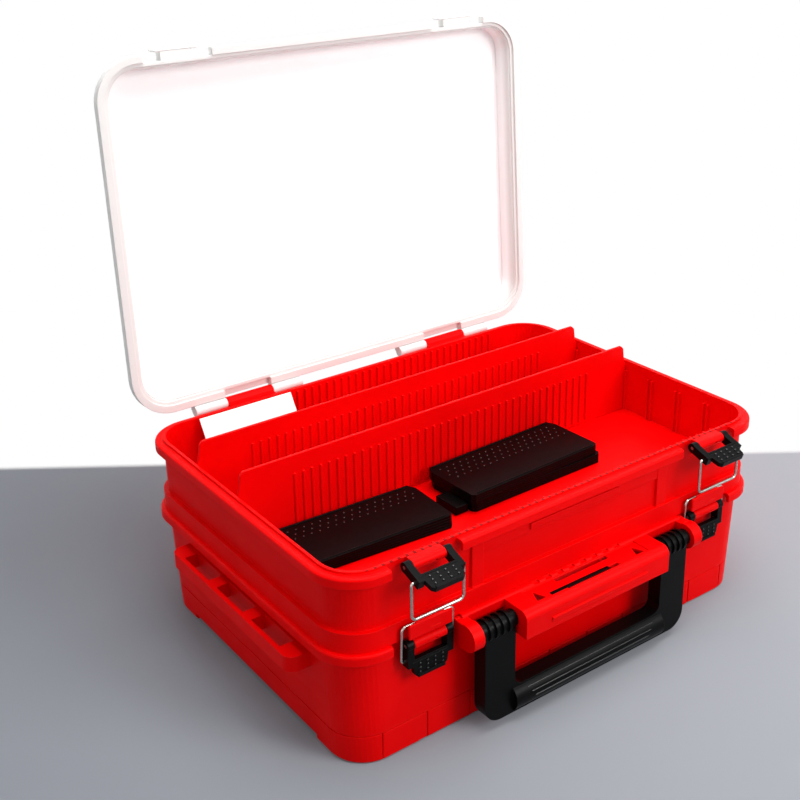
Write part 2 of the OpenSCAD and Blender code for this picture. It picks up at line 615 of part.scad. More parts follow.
module long_divider(y) color([0.82, 0.02, 0.02]) translate([0, y, floor_z + 0.2]) {
  rise = tray_h - tray_floor;
  rotate([90, 0, 0]) translate([0, 0, -div_t/2]) linear_extrude(div_t) polygon([
    [-div_half + 1, 0], [div_half - 1, 0], [div_half, rise - 6], [div_half - 2.5, rise + 3],
    [div_half - 4, div_h - 3], [div_half - 7, div_h], [-div_half + 7, div_h], [-div_half + 4, div_h - 3],
    [-div_half + 2.5, rise + 3], [-div_half, rise - 6]]);
  small_ribs(-div_t/2 - rib_d, 4, div_h - 20, rib_d + 0.4);
}
module rear_divider() long_divider(div_rear_y);
module front_divider() long_divider(div_front_y);
// a cross divider lying flat, with a rib along each long edge and two rows of studs
module cross_divider() {
  linear_extrude(cross_t) polygon([[-cross_l/2 + 3, -cross_w/2], [cross_l/2 - 3, -cross_w/2],
    [cross_l/2, -cross_w/2 + 3], [cross_l/2, cross_w/2 - 8], [cross_l/2 - 4, cross_w/2],
    [-cross_l/2 + 4, cross_w/2], [-cross_l/2, cross_w/2 - 8], [-cross_l/2, -cross_w/2 + 3]]);
}
module cross_dividers_left() black() translate([-132, -div_t - cross_w/2 - 2.6, floor_z + stack_gap])
  for (i = [0:stack_left - 1]) translate([0, 0, i*(cross_t + stack_gap)]) rotate(-4 + 0.4*i) cross_divider();
module cross_dividers_right() black() translate([41, -cross_w/2 - 1.6, floor_z + stack_gap])
  for (i = [0:stack_right - 1]) translate([i < stack_right/2 ? 2 : -1, 0, i*(cross_t + stack_gap)])
    rotate(i < stack_right/2 ? 0.6 : 2) cross_divider();
module blank_card() color([0.95, 0.95, 0.95])
  translate([-129, inner_base_y - rib_d - 0.6 - card_t - card_l*cos(card_lean), floor_z + 0.3])
    rotate([card_lean, 0, 0]) translate([-card_w/2, 0, 0]) cube([card_w, card_l, card_t]);

lower_case();
tray();
lid();
carry_handle();
handle_pin_left();
handle_pin_right();
tray_hinge_pin_left();
tray_hinge_pin_right();
lid_hinge_pin_left();
lid_hinge_pin_right();
lower_lever_left();
lower_lever_right();
upper_lever_left();
upper_lever_right();
lower_bail_left();
lower_bail_right();
upper_bail_left();
upper_bail_right();
lower_latch_pin_left();
lower_latch_pin_right();
upper_latch_pin_left();
upper_latch_pin_right();
rear_divider();
front_divider();
cross_dividers_left();
cross_dividers_right();
blank_card();
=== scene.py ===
"""Two-tier tackle case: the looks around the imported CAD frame.

The rigid pieces are the CAD nodes. This script gives each its moulded or plated finish, adds the
fine moulded trim that the solids leave out, and sets the studio and the camera.
"""
import logging
import math
from dataclasses import dataclass
from enum import Enum
from typing import Callable, Sequence

import bmesh
import bpy
from mathutils import Matrix, Vector


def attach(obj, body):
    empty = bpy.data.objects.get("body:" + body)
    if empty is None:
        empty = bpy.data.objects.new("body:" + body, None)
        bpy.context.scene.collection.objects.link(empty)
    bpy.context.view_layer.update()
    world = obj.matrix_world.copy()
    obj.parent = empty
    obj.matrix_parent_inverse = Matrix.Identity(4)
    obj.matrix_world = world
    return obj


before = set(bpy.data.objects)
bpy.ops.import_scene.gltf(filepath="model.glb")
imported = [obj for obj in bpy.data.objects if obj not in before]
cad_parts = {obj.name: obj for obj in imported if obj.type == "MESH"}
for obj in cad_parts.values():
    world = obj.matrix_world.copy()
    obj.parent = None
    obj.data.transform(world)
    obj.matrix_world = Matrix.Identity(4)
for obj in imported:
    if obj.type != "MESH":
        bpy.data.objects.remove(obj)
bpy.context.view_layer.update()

LOG = logging.getLogger("tackle_case")
MM = 0.001
LATCH_X = 151.0            # mm, from the middle to each latch


class Side(Enum):
    """Which side of the case a piece is on, seen from the handle."""
    LEFT = -1
    RIGHT = 1


class Tier(Enum):
    """Which pair of latches a piece belongs to."""
    LOWER = "lower"
    UPPER = "upper"


# ---------------------------------------------------------------- colours and nodes

def linear(hex_colour: str) -> tuple[float, float, float, float]:
    """Turns an sRGB hex colour into linear RGBA.

    Args:
        hex_colour: six hex digits after a hash.
    Returns:
        The colour as Blender's sockets take it.
    """
    parts = [int(hex_colour[i:i + 2], 16) / 255 for i in (1, 3, 5)]
    rgb = [c / 12.92 if c <= 0.04045 else ((c + 0.055) / 1.055) ** 2.4 for c in parts]
    return (rgb[0], rgb[1], rgb[2], 1.0)


def add_node(tree: bpy.types.NodeTree, kind: str, settings: dict | None = None,
             values: dict | None = None, links: dict | None = None) -> bpy.types.Node:
    """Adds one shader node.

    Args:
        tree: the material's node tree.
        kind: the node's type without its ShaderNode prefix.
        settings: attributes of the node.
        values: input name or index to a constant.
        links: input name or index to (node, output name).
    Returns:
        The node.
    """
    node = tree.nodes.new("ShaderNode" + kind)
    for name, value in (settings or {}).items():
        setattr(node, name, value)
    for name, value in (values or {}).items():
        node.inputs[name].default_value = value
    for name, (source, output) in (links or {}).items():
        tree.links.new(source.outputs[output], node.inputs[name])
    return node


def set_ramp(node: bpy.types.Node, stops: Sequence[tuple[float, str]]) -> None:
    """Sets a colour ramp's stops.

    Args:
        node: the Color Ramp node.
        stops: (position, hex colour) pairs, lowest first.
    """
    ramp = node.color_ramp
    while len(ramp.elements) < len(stops):
        ramp.elements.new(0.5)
    for element, (position, colour) in zip(ramp.elements, stops):
        element.position = position
        element.color = linear(colour)


def new_material(name: str) -> tuple[bpy.types.Material, bpy.types.NodeTree]:
    """Makes a material with an empty node tree.

    Args:
        name: the material's name.
    Returns:
        The material and its tree.
    """
    mat = bpy.data.materials.new(name)
    mat.use_nodes = True
    mat.node_tree.nodes.clear()
    return mat, mat.node_tree


def seen_plainly(tree: bpy.types.NodeTree) -> bpy.types.Node:
    """Tells the rays that show a surface to the camera, straight or by way of metal or glass.

    Args:
        tree: the node tree.
    Returns:
        A Math node whose value is 1 for those rays and 0 for the rest.
    """
    path = add_node(tree, "LightPath")
    seen = add_node(tree, "Math", settings={"operation": "MAXIMUM"},
                    links={0: (path, "Is Camera Ray"), 1: (path, "Is Glossy Ray")})
    return add_node(tree, "Math", settings={"operation": "MAXIMUM"},
                    links={0: (seen, "Value"), 1: (path, "Is Transmission Ray")})


# ---------------------------------------------------------------- finishes

FLOW_SCALE = 9.0           # per metre: flow marks about 110 mm apart
FLOW_SPAN = (0.32, 0.68)   # the noise between the shade and the full colour
SCUFF_SCALE = 34.0         # per metre: handling marks about 30 mm apart
SCUFF_STRETCH = (1.0, 1.0, 3.2)
SCUFF_SPAN = (0.3, 0.75)
EDGE_FACING = 0.86         # cosine between the true and the rounded normal where the painted edge light is full
BUMP_M = 0.0002            # the grain's depth at full strength
GLOW_DEPTH_M = 0.004       # how deep light goes into a milky moulding
NOTCH_START, NOTCH_FULL = 0.42, 0.34    # shares of the notches' pitch
CREST_Z = 168.6            # mm, just under the top of the tray rim's crest
CREST_Y = 150.4            # mm, from the middle to the middle of the crest's notched part
CREST_HALF = 1.6           # mm, half the notches' length
# the painted shade of the crest's notches
NOTCH_PAINTED_SHADE = "#8a0000"
WIRE_STRETCH = (0.15, 1.0, 1.0)         # the draw lines run along X
WIRE_GLOSS = (-0.07, 0.1)  # the least and the most that a draw line adds to the wire's roughness


@dataclass(frozen=True)
class LidPose:
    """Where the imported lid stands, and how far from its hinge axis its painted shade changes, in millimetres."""
    axis_y: float = 163.5
    axis_z: float = 168.0
    open_deg: float = 93.5
    flange_full: float = 7.0    # up to here it is the flange's
    flange_end: float = 13.0    # from here on the panel's
    outside_start: float = 20.2     # up to here the panel's
    outside_full: float = 21.2  # from here on the outer face's

    def hinge(self) -> Vector:
        """Gives a point on the hinge axis.

        Returns:
            The point, in metres.
        """
        return Vector((0.0, self.axis_y, self.axis_z)) * MM

    def outward(self) -> tuple[float, float, float]:
        """Gives the open lid's direction from its flange to its panel.

        Returns:
            A unit vector.
        """
        angle = math.radians(self.open_deg)
        return (0.0, math.sin(angle), math.cos(angle))


@dataclass(frozen=True)
class MouldedPlastic:
    """Injection-moulded plastic: flow mottling, fine spark-eroded grain, softly rounded edges and painted light along
    them.
    """
    name: str
    colour: str
    shade: str                 # the darker tone of the flow marks
    edge: str                  # painted light along edges: a highlight where lighter than the colour, shade where darker
    roughness: float = 0.34
    ior: float = 1.49          # polypropylene
    grain_mm: float = 0.9      # real grain is about 0.1 mm; drawn coarser so that it shows
    grain_depth: float = 0.05
    round_mm: float = 0.7      # moulded edge radius
    subsurface: float = 0.0
    # how much of the painted edge light is mixed in
    painted_edge_amount: float = 0.5
    specular: float = 0.12     # the mould's fine grain breaks up the shine
    scuff_change: float = 0.08
    notch_mm: float = 0.0      # distance between the rim's notches, 0 for none
    flange_shade: str = ""           # painted shade on an open lid's flange, none if empty
    outside_shade: str = "#d3d4d3"   # painted shade on such a lid's outer face

    def build(self) -> bpy.types.Material:
        """Makes the material.

        Returns:
            The finished material.
        """
        mat, tree = new_material(self.name)
        coords = add_node(tree, "TexCoord")
        flow = add_node(tree, "TexNoise", values={"Scale": FLOW_SCALE, "Detail": 3.0, "Distortion": 0.8},
                        links={"Vector": (coords, "Object")})
        tone = add_node(tree, "ValToRGB", links={"Fac": (flow, "Fac")})
        set_ramp(tone, ((FLOW_SPAN[0], self.shade), (FLOW_SPAN[1], self.colour)))
        rounded = add_node(tree, "Bevel", settings={"samples": 6}, values={"Radius": self.round_mm * MM})
        geometry = add_node(tree, "NewGeometry")
        facing = add_node(tree, "VectorMath", settings={"operation": "DOT_PRODUCT"},
                          links={0: (rounded, "Normal"), 1: (geometry, "Normal")})
        # painted light along the edges: a highlight where the edge tone is lighter than the colour, shade where it is
        # darker
        edge = add_node(tree, "MapRange", values={"From Min": 1.0, "From Max": EDGE_FACING, "To Min": 0.0,
                                                  "To Max": self.painted_edge_amount},
                        links={"Value": (facing, "Value")})
        tone_with_painted_light = add_node(tree, "Mix", settings={"data_type": "RGBA"}, values={"B": linear(self.edge)},
                        links={"Factor": (edge, "Result"), "A": (tone, "Color")})
        if self.notch_mm:
            tone_with_painted_light = self.notches(tree, coords, tone_with_painted_light)
        if self.flange_shade:
            tone_with_painted_light = self.paint_flange_shade(tree, coords, tone_with_painted_light)
        scuff_coords = add_node(tree, "Mapping", values={"Scale": SCUFF_STRETCH},
                                links={"Vector": (coords, "Object")})
        scuff = add_node(tree, "TexNoise", values={"Scale": SCUFF_SCALE, "Detail": 4.0, "Roughness": 0.6},
                         links={"Vector": (scuff_coords, "Vector")})
        gloss = add_node(tree, "MapRange", values={"From Min": SCUFF_SPAN[0], "From Max": SCUFF_SPAN[1],
                                                   "To Min": self.roughness - self.scuff_change / 2,
                                                   "To Max": self.roughness + self.scuff_change},
                         links={"Value": (scuff, "Fac")})
        grain = add_node(tree, "TexNoise", values={"Scale": 1.0 / (self.grain_mm * MM), "Detail": 2.0},
                         links={"Vector": (coords, "Object")})
        bump = add_node(tree, "Bump", values={"Strength": self.grain_depth, "Distance": BUMP_M},
                        links={"Height": (grain, "Fac"), "Normal": (rounded, "Normal")})
        shader = add_node(tree, "BsdfPrincipled",
                          values={"IOR": self.ior, "Specular IOR Level": self.specular,
                                  "Subsurface Weight": self.subsurface,
                                  "Subsurface Radius": (GLOW_DEPTH_M,) * 3, "Subsurface Scale": 1.0},
                          links={"Base Color": (tone_with_painted_light, "Result"), "Roughness": (gloss, "Result"),
                                 "Normal": (bump, "Normal")})
        add_node(tree, "OutputMaterial", links={"Surface": (shader, "BSDF")})
        return mat

    def notches(self, tree: bpy.types.NodeTree, coords: bpy.types.Node, base: bpy.types.Node) -> bpy.types.Node:
        """Paints shade in the shape of a row of small notches along the front rim's crest.

        Args:
            tree: the material's node tree.
            coords: the Texture Coordinate node.
            base: the Mix node with the colour so far.
        Returns:
            The Mix node with the painted notch shade in it.
        """
        parts = add_node(tree, "SeparateXYZ", links={"Vector": (coords, "Object")})
        steps = add_node(tree, "Math", settings={"operation": "MULTIPLY"}, values={1: 1.0 / (self.notch_mm * MM)},
                         links={0: (parts, "X")})
        saw = add_node(tree, "Math", settings={"operation": "FRACT"}, links={0: (steps, "Value")})
        tooth = add_node(tree, "MapRange", values={"From Min": NOTCH_START, "From Max": NOTCH_FULL},
                         links={"Value": (saw, "Value")})
        high = add_node(tree, "Math", settings={"operation": "GREATER_THAN"}, values={1: CREST_Z * MM},
                        links={0: (parts, "Z")})
        front = add_node(tree, "Math", settings={"operation": "COMPARE"}, values={1: -CREST_Y * MM, 2: CREST_HALF * MM},
                         links={0: (parts, "Y")})
        place = add_node(tree, "Math", settings={"operation": "MULTIPLY"},
                         links={0: (high, "Value"), 1: (front, "Value")})
        mask = add_node(tree, "Math", settings={"operation": "MULTIPLY"},
                        links={0: (place, "Value"), 1: (tooth, "Result")})
        return add_node(tree, "Mix", settings={"data_type": "RGBA"}, values={"B": linear(NOTCH_PAINTED_SHADE)},
                        links={"Factor": (mask, "Value"), "A": (base, "Result")})

    def paint_flange_shade(self, tree: bpy.types.NodeTree, coords: bpy.types.Node, base: bpy.types.Node) -> bpy.types.Node:
        """Paints shade on an open lid's flange, where the light through the panel doesn't reach, and on its outer face.

        Args:
            tree: the material's node tree.
            coords: the Texture Coordinate node.
            base: the Mix node with the colour so far.
        Returns:
            The Mix node with the flange's tone in it.
        """
        pose = LidPose()
        out = pose.outward()
        depth = add_node(tree, "VectorMath", settings={"operation": "DOT_PRODUCT"}, values={1: out},
                         links={0: (coords, "Object")})
        zero = pose.hinge() @ Vector(out)
        mask = add_node(tree, "MapRange", values={"From Min": zero + pose.flange_end * MM,
                                                  "From Max": zero + pose.flange_full * MM},
                        links={"Value": (depth, "Value")})
        inside = add_node(tree, "Mix", settings={"data_type": "RGBA"}, values={"B": linear(self.flange_shade)},
                          links={"Factor": (mask, "Result"), "A": (base, "Result")})
        outer = add_node(tree, "MapRange", values={"From Min": zero + pose.outside_start * MM,
                                                   "From Max": zero + pose.outside_full * MM},
                         links={"Value": (depth, "Value")})
        return add_node(tree, "Mix", settings={"data_type": "RGBA"}, values={"B": linear(self.outside_shade)},
                        links={"Factor": (outer, "Result"), "A": (inside, "Result")})


@dataclass(frozen=True)
class DrawnWire:
    """Nickel-plated drawn steel: long draw lines and a soft shine."""
    name: str
    colour: str
    shade: str                 # the tone in the draw lines
    roughness: float
    line_mm: float = 0.5       # draw lines are far finer; drawn coarser so that they show

    def build(self) -> bpy.types.Material:
        """Makes the material.

        Returns:
            The finished material.
        """
        mat, tree = new_material(self.name)
        coords = add_node(tree, "TexCoord")
        stretch = add_node(tree, "Mapping", values={"Scale": WIRE_STRETCH},
                           links={"Vector": (coords, "Object")})
        lines = add_node(tree, "TexNoise", values={"Scale": 1.0 / (self.line_mm * MM), "Detail": 2.0},
                         links={"Vector": (stretch, "Vector")})
        tone = add_node(tree, "ValToRGB", links={"Fac": (lines, "Fac")})
        set_ramp(tone, ((0.3, self.shade), (0.7, self.colour)))
        gloss = add_node(tree, "MapRange", values={"To Min": self.roughness + WIRE_GLOSS[0],
                                                   "To Max": self.roughness + WIRE_GLOSS[1]},
                         links={"Value": (lines, "Fac")})
        shader = add_node(tree, "BsdfPrincipled", values={"Metallic": 1.0},
                          links={"Base Color": (tone, "Color"), "Roughness": (gloss, "Result")})
        add_node(tree, "OutputMaterial", links={"Surface": (shader, "BSDF")})
        return mat


@dataclass(frozen=True)
class CoatedCard:
    """Clay-coated card: nearly white, with a trace of fibre in the coat."""
    name: str = "clay_coated_card"
    colour: str = "#fbfbf8"
    shade: str = "#efefea"     # the tone of the fibres
    fibre_mm: float = 1.6      # fibres about 1.5 mm long

    def build(self) -> bpy.types.Material:
        """Makes the material.

        Returns:
            The finished material.
        """
        mat, tree = new_material(self.name)
        coords = add_node(tree, "TexCoord")
        fibre = add_node(tree, "TexNoise", values={"Scale": 1.0 / (self.fibre_mm * MM), "Detail": 5.0,
                                                   "Distortion": 1.5},
                         links={"Vector": (coords, "Object")})
        tone = add_node(tree, "ValToRGB", links={"Fac": (fibre, "Fac")})
        set_ramp(tone, ((0.3, self.shade), (0.6, self.colour)))
        bump = add_node(tree, "Bump", values={"Strength": 0.1, "Distance": 0.0001},
                        links={"Height": (fibre, "Fac")})
        shader = add_node(tree, "BsdfPrincipled", values={"Roughness": 0.6},
                          links={"Base Color": (tone, "Color"), "Normal": (bump, "Normal")})
        add_node(tree, "OutputMaterial", links={"Surface": (shader, "BSDF")})
        return mat


RED_POLYPROPYLENE = MouldedPlastic("red_polypropylene", "#e80002", "#dd0001", "#f81c16", roughness=0.42,
                                   painted_edge_amount=0.42, specular=0.05, notch_mm=6.9)
# the flange colour and the outer tone are painted shade
MILKY_POLYPROPYLENE = MouldedPlastic("milky_polypropylene", "#fdfdfd", "#fafafa", "#e2e2e0", roughness=0.4,
                                     subsurface=0.25, grain_depth=0.02, painted_edge_amount=0.5, scuff_change=0.02,
                                     flange_shade="#e0dfdd")
# a darker copy of the milky plastic: painted shade on the lid's step bead and catch faces
MILKY_PAINTED_SHADE = MouldedPlastic("milky_bead_polypropylene", "#e2e1df", "#dad9d7", "#f0f0ee", roughness=0.38,
                            grain_depth=0.02, scuff_change=0.02)
BLACK_NYLON = MouldedPlastic("black_glass_filled_nylon", "#060606", "#040404", "#161616", roughness=0.36,
                             ior=1.53, grain_depth=0.09, specular=0.07)
# a lighter copy of the black nylon: painted highlight on the lever studs' tips
NYLON_TIP_HIGHLIGHT = MouldedPlastic("rubbed_black_nylon", "#2c2d2c", "#222322", "#4c4e4c", roughness=0.2, ior=1.53,
                              grain_depth=0.01, specular=0.5, scuff_change=0.04)
# glossier than the handle, and a little lighter: the lighter colour is painted highlight along the grip
POLISHED_NYLON = MouldedPlastic("polished_black_nylon", "#0e0e0e", "#0a0a0a", "#2e2e2e", roughness=0.2, ior=1.53,
                                grain_depth=0.01, specular=0.4, scuff_change=0.04)
BLACK_STYRENE = MouldedPlastic("black_styrene", "#050303", "#030202", "#120d0d", roughness=0.4, ior=1.57,
                               grain_depth=0.03, specular=0.05)
# a lighter copy of the black styrene: painted highlight on the plates' studs
STYRENE_STUD_HIGHLIGHT = MouldedPlastic("black_styrene_studs", "#2a1616", "#1e1010", "#5a4646", roughness=0.25, ior=1.57,
                              grain_depth=0.01, specular=0.4)
BAIL_WIRE = DrawnWire("nickel_plated_wire", "#c9c5bf", "#a39d96", 0.22)
PIN_STEEL = DrawnWire("drawn_steel_pin", "#b7b5b1", "#a3a19d", 0.36)
CARD = CoatedCard()

Finish = MouldedPlastic | DrawnWire | CoatedCard


class FinishRack:
    """Builds each finish once and hands it out."""

    def __init__(self) -> None:
        """Starts with no materials."""
        self.made: dict[str, bpy.types.Material] = {}

    def get(self, finish: Finish) -> bpy.types.Material:
        """Gives a finish's material.

        Args:
            finish: the finish.
        Returns:
            Its material, made on first use.
        """
        if finish.name not in self.made:
            self.made[finish.name] = finish.build()
        return self.made[finish.name]


# ---------------------------------------------------------------- modelling bench

STUD_SIDES, BAR_SIDES = 12, 16
EDGE_STEPS, END_STEPS, CORNER_STEPS = 2, 3, 12    # bevels on a block, a bar's end and a ring's corner
STUD_LIFT = 0.3            # how far a stud's drawn-in top rises, as a share of its height
BAR_END = 0.6              # a bar's rounded end, as a share of its radius
FACING = 0.9               # a face looks along an axis when its normal is past this


def choose(piece: bpy.types.Object, kind: str,
           wanted: Callable[[bmesh.types.BMFace | bmesh.types.BMEdge], bool]) -> None:
    """Selects faces or edges of the piece in edit mode by a test.

    Args:
        piece: the piece, in edit mode.
        kind: "faces" or "edges".
        wanted: tells whether one of them is selected.
    """
    bpy.ops.mesh.select_all(action="DESELECT")
    mesh = bmesh.from_edit_mesh(piece.data)
    for element in getattr(mesh, kind):
        element.select = wanted(element)
    bmesh.update_edit_mesh(piece.data)


def pick_up(piece: bpy.types.Object) -> None:
    """Makes a piece the only selected one and the active one.

    Args:
        piece: the piece.
    """
    bpy.ops.object.select_all(action="DESELECT")
    piece.select_set(True)
    bpy.context.view_layer.objects.active = piece


@dataclass
class Bench:
    """Models small pieces with Blender's own tools, in millimetres, and hands them to a body."""
    rack: FinishRack

    def block(self, name: str, size: Sequence[float], bevel: float = 0.0) -> bpy.types.Object:
        """Makes a block on the origin, with bevelled edges.

        Args:
            name: the piece's name.
            size: its width, depth and height.
            bevel: the width of the bevel on its edges.
        Returns:
            The block.
        """
        bpy.ops.object.select_all(action="DESELECT")
        bpy.ops.mesh.primitive_cube_add(size=1)
        piece = bpy.context.object
        piece.name = name
        piece.scale = Vector(size) * MM
        bpy.ops.object.transform_apply(location=False, rotation=False, scale=True)
        if bevel:
            bpy.ops.object.mode_set(mode="EDIT")
            bpy.ops.mesh.select_all(action="SELECT")
            bpy.ops.mesh.bevel(offset=bevel * MM, segments=EDGE_STEPS)
            bpy.ops.object.mode_set(mode="OBJECT")
        return piece

    def stud(self, name: str, radius: float, height: float, tip: float) -> bpy.types.Object:
        """Makes an upright stud on the origin whose top is drawn in.

        Args:
            name: the piece's name.
            radius: its radius at the foot.
            height: its height.
            tip: the radius of its top as a share of the foot's.
        Returns:
            The stud.
        """
        bpy.ops.object.select_all(action="DESELECT")
        bpy.ops.mesh.primitive_cylinder_add(vertices=STUD_SIDES, radius=radius * MM, depth=height * MM)
        piece = bpy.context.object
        piece.name = name
        bpy.ops.object.mode_set(mode="EDIT")
        choose(piece, "faces", lambda face: face.normal.z > FACING)
        bpy.ops.mesh.inset(thickness=radius * (1 - tip) * MM)
        bpy.ops.transform.translate(value=(0, 0, height * STUD_LIFT * MM))
        bpy.ops.object.mode_set(mode="OBJECT")
        return piece

    def bar(self, name: str, radius: float, length: float) -> bpy.types.Object:
        """Makes a round bar along X on the origin, with rounded ends.

        Args:
            name: the piece's name.
            radius: its radius.
            length: its length.
        Returns:
            The bar.
        """
        bpy.ops.object.select_all(action="DESELECT")
        bpy.ops.mesh.primitive_cylinder_add(vertices=BAR_SIDES, radius=radius * MM, depth=length * MM,
                                            rotation=(0, math.pi / 2, 0))
        piece = bpy.context.object
        piece.name = name
        bpy.ops.object.transform_apply(location=True, rotation=True, scale=True)
        bpy.ops.object.mode_set(mode="EDIT")
        choose(piece, "faces", lambda face: abs(face.normal.x) > FACING)
        bpy.ops.mesh.bevel(offset=radius * BAR_END * MM, segments=END_STEPS)
        bpy.ops.object.mode_set(mode="OBJECT")
        return piece

    def ring(self, name: str, width: float, depth: float, radius: float, thick: float,
             height: float) -> bpy.types.Object:
        """Makes a flat rounded-rectangle ring on the origin: bevelled corners, inset and extruded.

        Args:
            name: the piece's name.
            width: its outer width.
            depth: its outer depth.
            radius: its outer corner radius.
            thick: how wide the ring's band is.
            height: its height.
        Returns:
            The ring.
        """
        bpy.ops.object.select_all(action="DESELECT")
        bpy.ops.mesh.primitive_plane_add(size=1)
        piece = bpy.context.object
        piece.name = name
        piece.scale = (width * MM, depth * MM, 1)
        bpy.ops.object.transform_apply(location=False, rotation=False, scale=True)
        bpy.ops.object.mode_set(mode="EDIT")
        bpy.ops.mesh.select_all(action="SELECT")
        bpy.ops.mesh.bevel(offset=radius * MM, segments=CORNER_STEPS, affect="VERTICES")
        bpy.ops.mesh.select_all(action="SELECT")
        bpy.ops.mesh.inset(thickness=thick * MM)
        bpy.ops.mesh.delete(type="FACE")
        bpy.ops.mesh.select_all(action="SELECT")
        bpy.ops.mesh.extrude_region_move(TRANSFORM_OT_translate={"value": (0, 0, height * MM)})
        bpy.ops.object.mode_set(mode="OBJECT")
        return piece

    def repeat(self, piece: bpy.types.Object, count: int, step: Sequence[float]) -> None:
        """Repeats a piece in a row with an array, applied.

        Args:
            piece: the piece.
            count: how many there are in the row.
            step: from one to the next.
        """
        pick_up(piece)
        array = piece.modifiers.new("row", "ARRAY")
        array.count = count
        array.use_relative_offset = False
        array.use_constant_offset = True
        array.constant_offset_displace = Vector(step) * MM
        bpy.ops.object.modifier_apply(modifier=array.name)

    def place(self, piece: bpy.types.Object, centre: Sequence[float],
              turn_deg: Sequence[float] = (0.0, 0.0, 0.0)) -> None:
        """Moves a piece from the origin to its place and applies the move.

        Args:
            piece: the piece.
            centre: where its own origin goes.
            turn_deg: how it is turned about X, Y and Z.
        """
        pick_up(piece)
        piece.location = Vector(centre) * MM
        piece.rotation_euler = [math.radians(a) for a in turn_deg]
        bpy.ops.object.transform_apply(location=True, rotation=True, scale=True)

    def join(self, pieces: Sequence[bpy.types.Object]) -> bpy.types.Object:
        """Joins pieces into the first one.

        Args:
            pieces: the pieces.
        Returns:
            The joined piece.
        """
        pick_up(pieces[0])
        for piece in pieces[1:]:
            piece.select_set(True)
        bpy.ops.object.join()
        return pieces[0]

    def swing(self, piece: bpy.types.Object, pose: LidPose) -> None:
        """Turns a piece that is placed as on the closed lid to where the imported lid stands.

        Args:
            piece: the piece.
            pose: how the lid stands.
        """
        self.place(piece, (0, -pose.axis_y, -pose.axis_z))
        self.place(piece, (0, pose.axis_y, pose.axis_z), (-pose.open_deg, 0, 0))

    def hand_over(self, piece: bpy.types.Object, body: str, finish: Finish, slot: str) -> None:
        """Turns the normals out, gives the piece its finish and lets it ride a body.

        Args:
            piece: the piece, in its place.
            body: the body that it rides.
            finish: its finish.
            slot: the record's material slot; not used.
        """
        pick_up(piece)
        bpy.ops.object.mode_set(mode="EDIT")
        bpy.ops.mesh.select_all(action="SELECT")
        bpy.ops.mesh.normals_make_consistent(inside=False)
        bpy.ops.object.mode_set(mode="OBJECT")
        piece.data.materials.append(self.rack.get(finish))
        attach(piece, body)
        LOG.info("%s rides %s", piece.name, body)


# ---------------------------------------------------------------- sub-assemblies

@dataclass
class SubAssembly:
    """A group of CAD nodes that share a finish or a job."""
    rack: FinishRack

    def bench(self) -> Bench:
        """Gives a bench that shares this group's finishes.

        Returns:
            The bench.
        """
        return Bench(self.rack)

    def dress(self, node: str, finish: Finish) -> None:
        """Gives a CAD node its finish.

        Args:
            node: the node's name.
            finish: the finish.
        """
        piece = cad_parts[node]
        piece.data.materials.clear()
        piece.data.materials.append(self.rack.get(finish))
        LOG.info("%s: %s", node, finish.name)


@dataclass
class CatchFaces(SubAssembly):
    """The rounded faces of the two catches on a tray or lid, which the solids leave plain."""
    face: tuple[float, float, float] = (40.0, 2.0, 12.2)
    face_bevel: float = 0.9
    front_y: float = -161.2     # the front of a tray's faces, just before the solid's own
    low_z: float = 111.2        # the middle of a tray's catch face
    bar: tuple[float, float, float] = (9.0, 0.4, 1.2)
    bar_bevel: float = 0.2
    bar_shift: tuple[float, float] = (4.0, -2.6)    # from the face's middle, along X and Z

    def build(self, name: str, body: str, finish: Finish, slot: str, rise: float, pose: LidPose | None,
              back: float = 0.0) -> None:
        """Makes the faces of both catches and a small moulded bar on each.

        Args:
            name: the piece's name.
            body: the body that it rides.
            finish: its finish.
            slot: the record's material slot.
            rise: how far above a tray's catches these lie.
            pose: how the lid stands, if they are on the lid.
            back: how far they lie behind a tray's.
        """
        bench = self.bench()
        front = self.front_y + back
        parts = []
        middle_z = self.low_z + rise
        for side in Side:
            face = bench.block(name, self.face, self.face_bevel)
            bench.place(face, (side.value * LATCH_X, front + self.face[1] / 2, middle_z))
            bar = bench.block(name, self.bar, self.bar_bevel)
            bench.place(bar, (side.value * LATCH_X + self.bar_shift[0], front, middle_z + self.bar_shift[1]))
            parts += [face, bar]
        faces = bench.join(parts)
        if pose:
            bench.swing(faces, pose)
        bench.hand_over(faces, body, finish, slot)


@dataclass
class LowerCase(SubAssembly):
    """The deep lower case with its rim, handle bracket and side rails."""
    slot_shadow_size: tuple[float, float, float] = (62.0, 3.6, 0.6)
    slot_shadow_at: tuple[float, float, float] = (-13.0, -173.6, 100.7)   # a black sheet in the recess on top of the bracket, painted shadow of a deep slot
    slot_shadow_bevel: float = 0.15

    def build(self) -> None:
        """Dresses the case and the pins that it holds."""
        self.dress("lower_case", RED_POLYPROPYLENE)
        for side in ("left", "right"):
            self.dress(f"handle_pin_{side}", PIN_STEEL)
            self.dress(f"tray_hinge_pin_{side}", PIN_STEEL)
        bench = self.bench()
        # a thin black sheet stands for the shadow in the slot: painted shadow
        slot_shadow = bench.block("bracket_slot_liner", self.slot_shadow_size, self.slot_shadow_bevel)
        bench.place(slot_shadow, self.slot_shadow_at)
        bench.hand_over(slot_shadow, "lower_case", BLACK_STYRENE, "black_plastic")


@dataclass(frozen=True)
class PlateTop:
    """How the top plate of a pile of cross dividers lies."""
    side: Side
    middle: tuple[float, float]
    top: float                  # the height of its upper face
    turn_deg: float
    stud_rows: int


PLATE_TOPS = (PlateTop(Side.LEFT, (-132.0, -36.5), 129.0, -2.4, 3),
              PlateTop(Side.RIGHT, (40.0, -33.1), 135.6, 2.0, 4))


